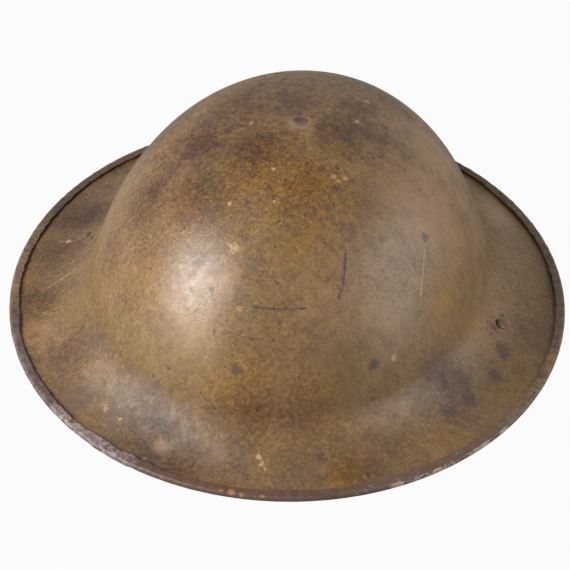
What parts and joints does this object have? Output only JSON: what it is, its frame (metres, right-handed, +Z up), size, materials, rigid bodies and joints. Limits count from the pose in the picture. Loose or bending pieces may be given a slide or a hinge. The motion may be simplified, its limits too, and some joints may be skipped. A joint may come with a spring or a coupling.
{
  "type": "steel helmet",
  "caption": "Wide-brimmed pressed steel helmet with a deep oval bowl, folded rim, crown rivet, padded band and net liner, and a leather chin strap on swinging wire bails.",
  "frame": {"origin": "centre of the oval rim, in the plane that the folded rim rests on", "axes": "+Z up through the crown rivet, +Y from the front to the back of the wearer's head, +X across to the wearer's left"},
  "size_m": [0.288, 0.309, 0.1135],
  "materials": {
    "olive_paint": "aged satin olive-brown paint with small chips and brown stains",
    "worn_rim_steel": "folded steel strip with the paint rubbed through to dark purplish rust",
    "brass": "tarnished brass sheet",
    "dull_steel": "darkened steel with light rust",
    "copper_rivet": "dull copper",
    "liner_leather": "dry brown leather, flesh side out",
    "chin_leather": "worn brown strap leather with burnished edges",
    "felt": "thick grey-brown wool felt",
    "buckram": "stiffened woven canvas",
    "oilcloth": "black oiled cloth with fine cracking",
    "twine": "knotted brown cotton twine",
    "rubber": "aged red-brown rubber tube"
  },
  "bodies": {
    "root": {"shell": "olive_paint", "rim_strip": "worn_rim_steel", "crown_rivet": "olive_paint", "crown_washer": "brass", "felt_pad": "felt", "cross_strap_long": "liner_leather", "cross_strap_short": "liner_leather", "strap_rivets": "copper_rivet", "liner_band": "buckram", "rubber_tube_01": "rubber", "rubber_tube_02": "rubber", "rubber_tube_03": "rubber", "rubber_tube_04": "rubber", "rubber_tube_05": "rubber", "rubber_tube_06": "rubber", "rubber_tube_07": "rubber", "rubber_tube_08": "rubber", "rubber_tube_09": "rubber", "rubber_tube_10": "rubber", "rubber_tube_11": "rubber", "rubber_tube_12": "rubber", "tube_rivets": "copper_rivet", "sweatband": "oilcloth", "net_cap": "twine", "bail_rivet_left": "olive_paint", "bail_rivet_right": "olive_paint", "bail_lug_left": "dull_steel", "bail_lug_right": "dull_steel", "chinstrap_run": "chin_leather", "chinstrap_tail": "chin_leather", "chinstrap_return": "chin_leather", "chinstrap_rivets": "copper_rivet", "strap_slide": "brass", "slide_rivet": "brass"},
    "left_bail": {"bail_left": "dull_steel", "strap_end_left": "chin_leather"},
    "right_bail": {"bail_right": "dull_steel", "strap_end_right": "chin_leather"}
  },
  "joints": [
    {"name": "left_bail_swing", "type": "hinge", "parent": "root", "child": "left_bail", "pos_m": [-0.10311, 0, 0.01355], "axis": [0, -1, 0], "range_deg": [-35, 65]},
    {"name": "right_bail_swing", "type": "hinge", "parent": "root", "child": "right_bail", "pos_m": [0.10311, 0, 0.01355], "axis": [0, 1, 0], "range_deg": [-35, 65]}
  ]
}
